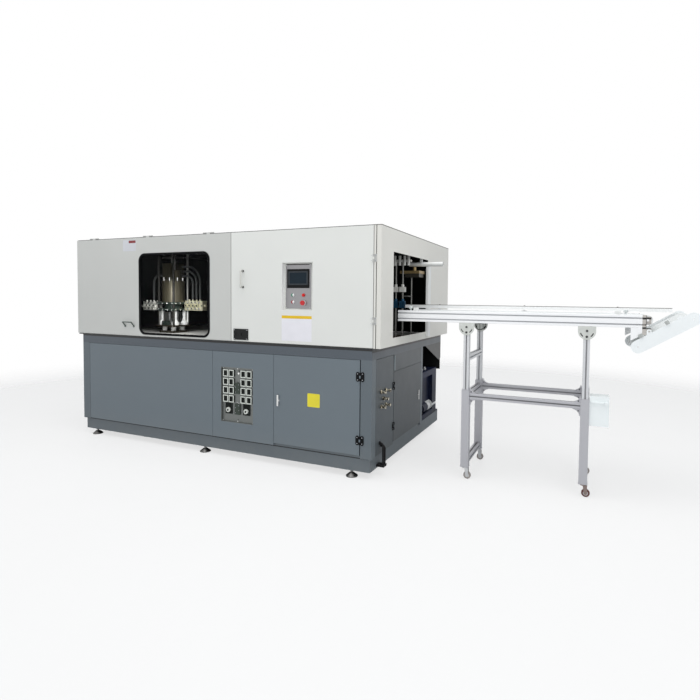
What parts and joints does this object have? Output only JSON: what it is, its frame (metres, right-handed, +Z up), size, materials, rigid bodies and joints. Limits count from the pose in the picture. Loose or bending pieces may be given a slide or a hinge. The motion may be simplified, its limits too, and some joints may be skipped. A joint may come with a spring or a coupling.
{
  "type": "stretch blow moulding machine",
  "caption": "Floor-standing stretch blow moulding machine: long grey cabinet with lift-up window door, control door, base with heater controls, and a belt conveyor on casters at its right end.",
  "frame": {"origin": "centre of the object's bounding box, on the floor", "axes": "+X along the machine towards the conveyor's outer end, front of the machine at -Y, +Z up"},
  "size_m": [5.5272, 2.04, 2.01],
  "materials": {
    "base_paint": "satin grey powder coat",
    "end_paint": "satin grey powder coat",
    "cabinet_paint": "fine textured pale grey powder coat",
    "cover_paint": "fine textured warm grey powder coat",
    "frame_paint": "satin grey paint",
    "machined_steel": "ground",
    "stainless": "brushed",
    "bright_steel": "polished",
    "zinc": "bright zinc plate",
    "brass_parts": "machined",
    "aluminium_profile": "clear anodised",
    "mould_aluminium": "machined",
    "black_plastic": "fine grain",
    "black_rubber": "matt",
    "white_plastic": "moulded",
    "belt": "smooth pale belt",
    "blue_paint": "gloss paint",
    "box_paint": "pale powder coat",
    "clear_pane": "clear",
    "screen": "dark display in a grey bezel",
    "green_button": "translucent",
    "red_button": "moulded",
    "wheel_rubber": "matt",
    "steel_tube": "pale paint"
  },
  "bodies": {
    "machine": {"base_frame": "base_paint", "base_front_panels": "base_paint", "base_end_panel": "end_paint", "base_side_panels": "end_paint", "machine_table": "machined_steel", "levelling_feet": "zinc", "control_plate": "stainless", "heater_regulators": "black_plastic", "door_hinges": "black_plastic", "air_valves": "brass_parts", "hoses_and_conduits": "black_rubber", "air_unit": "blue_paint", "cabinet_frame": "frame_paint", "roof_cover": "cabinet_paint", "rear_covers": "cabinet_paint", "right_end_cover": "cover_paint", "guide_tube": "white_plastic", "station_frame": "machined_steel", "preform_oven": "machined_steel", "transfer_unit": "brass_parts"},
    "left_selector": {"left_selector": "white_plastic"},
    "right_selector": {"right_selector": "white_plastic"},
    "stretch_carriage": {"stretch_carriage": "bright_steel"},
    "front_mould": {"front_mould": "mould_aluminium"},
    "rear_mould": {"rear_mould": "mould_aluminium"},
    "lift_door": {"lift_door_panel": "cabinet_paint", "window_pane": "clear_pane", "window_seal": "black_rubber", "lift_handle": "black_plastic"},
    "control_door": {"control_door_panel": "cabinet_paint", "operator_panel": "stainless", "touch_screen": "screen", "door_fittings": "black_plastic"},
    "start_button": {"start_button": "green_button"},
    "stop_button": {"stop_button": "red_button"},
    "emergency_button": {"emergency_button": "red_button"},
    "base_front_door": {"base_front_door": "base_paint"},
    "front_door_latch": {"front_door_latch": "bright_steel"},
    "base_end_door": {"base_end_door": "end_paint"},
    "end_door_latch": {"end_door_latch": "bright_steel"},
    "stand": {"stand_frame": "aluminium_profile", "control_box": "box_paint"},
    "deck": {"deck_frame": "aluminium_profile", "deck_belt": "belt", "guide_rail": "aluminium_profile", "inner_legs": "aluminium_profile"},
    "tail_roller": {"tail_roller": "zinc"},
    "drive_roller": {"drive_roller": "zinc"},
    "incline": {"incline_frame": "box_paint", "incline_belt": "belt"},
    "incline_tail_roller": {"incline_tail_roller": "zinc"},
    "incline_drive_roller": {"incline_drive_roller": "zinc"},
    "caster_fork_1": {"caster_fork_1": "zinc"},
    "caster_wheel_1": {"caster_wheel_1": "wheel_rubber"},
    "caster_fork_2": {"caster_fork_2": "zinc"},
    "caster_wheel_2": {"caster_wheel_2": "wheel_rubber"},
    "caster_fork_3": {"caster_fork_3": "zinc"},
    "caster_wheel_3": {"caster_wheel_3": "wheel_rubber"},
    "caster_fork_4": {"caster_fork_4": "zinc"},
    "caster_wheel_4": {"caster_wheel_4": "wheel_rubber"}
  },
  "joints": [
    {"name": "lift_door_hinge", "type": "hinge", "parent": "machine", "child": "lift_door", "pos_m": [-1.77363, -0.975, 2.005], "axis": [-1, 0, 0], "range_deg": [0, 80]},
    {"name": "control_door_hinge", "type": "hinge", "parent": "machine", "child": "control_door", "pos_m": [0.56387, -0.986, 1.5], "axis": [0, 0, 1], "range_deg": [0, 110]},
    {"name": "base_front_door_hinge", "type": "hinge", "parent": "machine", "child": "base_front_door", "pos_m": [0.45487, -0.976, 0.57], "axis": [0, 0, 1], "range_deg": [0, 110]},
    {"name": "base_end_door_hinge", "type": "hinge", "parent": "machine", "child": "base_end_door", "pos_m": [0.56137, -0.4895, 0.57], "axis": [0, 0, -1], "range_deg": [0, 50]},
    {"name": "front_door_latch_turn", "type": "hinge", "parent": "base_front_door", "child": "front_door_latch", "pos_m": [-0.30563, -0.97, 0.562], "axis": [0, 1, 0], "range_deg": [0, 90]},
    {"name": "end_door_latch_turn", "type": "hinge", "parent": "base_end_door", "child": "end_door_latch", "pos_m": [0.55537, 0.191, 0.487], "axis": [1, 0, 0], "range_deg": [0, 90]},
    {"name": "left_selector_turn", "type": "hinge", "parent": "machine", "child": "left_selector", "pos_m": [-0.83663, -0.97, 0.429], "axis": [0, 1, 0], "range_deg": [-45, 45]},
    {"name": "right_selector_turn", "type": "hinge", "parent": "machine", "child": "right_selector", "pos_m": [-0.64463, -0.97, 0.429], "axis": [0, 1, 0], "range_deg": [-45, 45]},
    {"name": "start_button_press", "type": "slide", "parent": "control_door", "child": "start_button", "axis": [0, 1, 0], "range_m": [0, 0.004], "stiffness_N_per_m": 800},
    {"name": "stop_button_press", "type": "slide", "parent": "control_door", "child": "stop_button", "axis": [0, 1, 0], "range_m": [0, 0.004], "stiffness_N_per_m": 800},
    {"name": "emergency_button_press", "type": "slide", "parent": "control_door", "child": "emergency_button", "axis": [0, 1, 0], "range_m": [0, 0.004], "stiffness_N_per_m": 800},
    {"name": "stretch_slide", "type": "slide", "parent": "machine", "child": "stretch_carriage", "axis": [0, 0, -1], "range_m": [0, 0.1]},
    {"name": "front_mould_slide", "type": "slide", "parent": "machine", "child": "front_mould", "axis": [0, 1, 0], "range_m": [0, 0.036]},
    {"name": "rear_mould_slide", "type": "slide", "parent": "machine", "child": "rear_mould", "axis": [0, -1, 0], "range_m": [0, 0.036]},
    {"name": "stand_slide", "type": "slide", "parent": "machine", "child": "stand", "axis": [1, 0, 0], "range_m": [0, 0.4]},
    {"name": "deck_height_slide", "type": "slide", "parent": "stand", "child": "deck", "axis": [0, 0, 1], "range_m": [-0.08, 0.15]},
    {"name": "drive_roller_turn", "type": "hinge", "parent": "deck", "child": "drive_roller", "pos_m": [2.45637, -0.31, 1.2997], "axis": [0, 1, 0], "continuous": true},
    {"name": "tail_roller_turn", "type": "hinge", "parent": "deck", "child": "tail_roller", "pos_m": [0.67137, -0.31, 1.2997], "axis": [0, 1, 0], "continuous": true},
    {"name": "incline_tilt", "type": "hinge", "parent": "deck", "child": "incline", "pos_m": [2.46137, -0.31, 1.225], "axis": [0, 1, 0], "range_deg": [-5, 12]},
    {"name": "incline_drive_roller_turn", "type": "hinge", "parent": "incline", "child": "incline_drive_roller", "pos_m": [2.71863, -0.31, 1.31637], "axis": [0, 1, 0], "continuous": true},
    {"name": "incline_tail_roller_turn", "type": "hinge", "parent": "incline", "child": "incline_tail_roller", "pos_m": [2.39637, -0.31, 1.115], "axis": [0, 1, 0], "continuous": true},
    {"name": "caster_1_swivel", "type": "hinge", "parent": "stand", "child": "caster_fork_1", "pos_m": [1.20337, -0.5745, 0.09], "axis": [0, 0, 1], "continuous": true},
    {"name": "caster_1_roll", "type": "hinge", "parent": "caster_fork_1", "child": "caster_wheel_1", "pos_m": [1.22337, -0.5745, 0.029], "axis": [0, 1, 0], "continuous": true},
    {"name": "caster_2_swivel", "type": "hinge", "parent": "stand", "child": "caster_fork_2", "pos_m": [2.07137, -0.5745, 0.09], "axis": [0, 0, 1], "continuous": true},
    {"name": "caster_2_roll", "type": "hinge", "parent": "caster_fork_2", "child": "caster_wheel_2", "pos_m": [2.09137, -0.5745, 0.029], "axis": [0, 1, 0], "continuous": true},
    {"name": "caster_3_swivel", "type": "hinge", "parent": "stand", "child": "caster_fork_3", "pos_m": [1.20337, -0.0455, 0.09], "axis": [0, 0, 1], "continuous": true},
    {"name": "caster_3_roll", "type": "hinge", "parent": "caster_fork_3", "child": "caster_wheel_3", "pos_m": [1.22337, -0.0455, 0.029], "axis": [0, 1, 0], "continuous": true},
    {"name": "caster_4_swivel", "type": "hinge", "parent": "stand", "child": "caster_fork_4", "pos_m": [2.07137, -0.0455, 0.09], "axis": [0, 0, 1], "continuous": true},
    {"name": "caster_4_roll", "type": "hinge", "parent": "caster_fork_4", "child": "caster_wheel_4", "pos_m": [2.09137, -0.0455, 0.029], "axis": [0, 1, 0], "continuous": true}
  ],
  "couplings": [
    {"joint": "rear_mould_slide", "follows": "front_mould_slide", "ratio": 1},
    {"joint": "tail_roller_turn", "follows": "drive_roller_turn", "ratio": 1},
    {"joint": "incline_tail_roller_turn", "follows": "incline_drive_roller_turn", "ratio": 1}
  ]
}
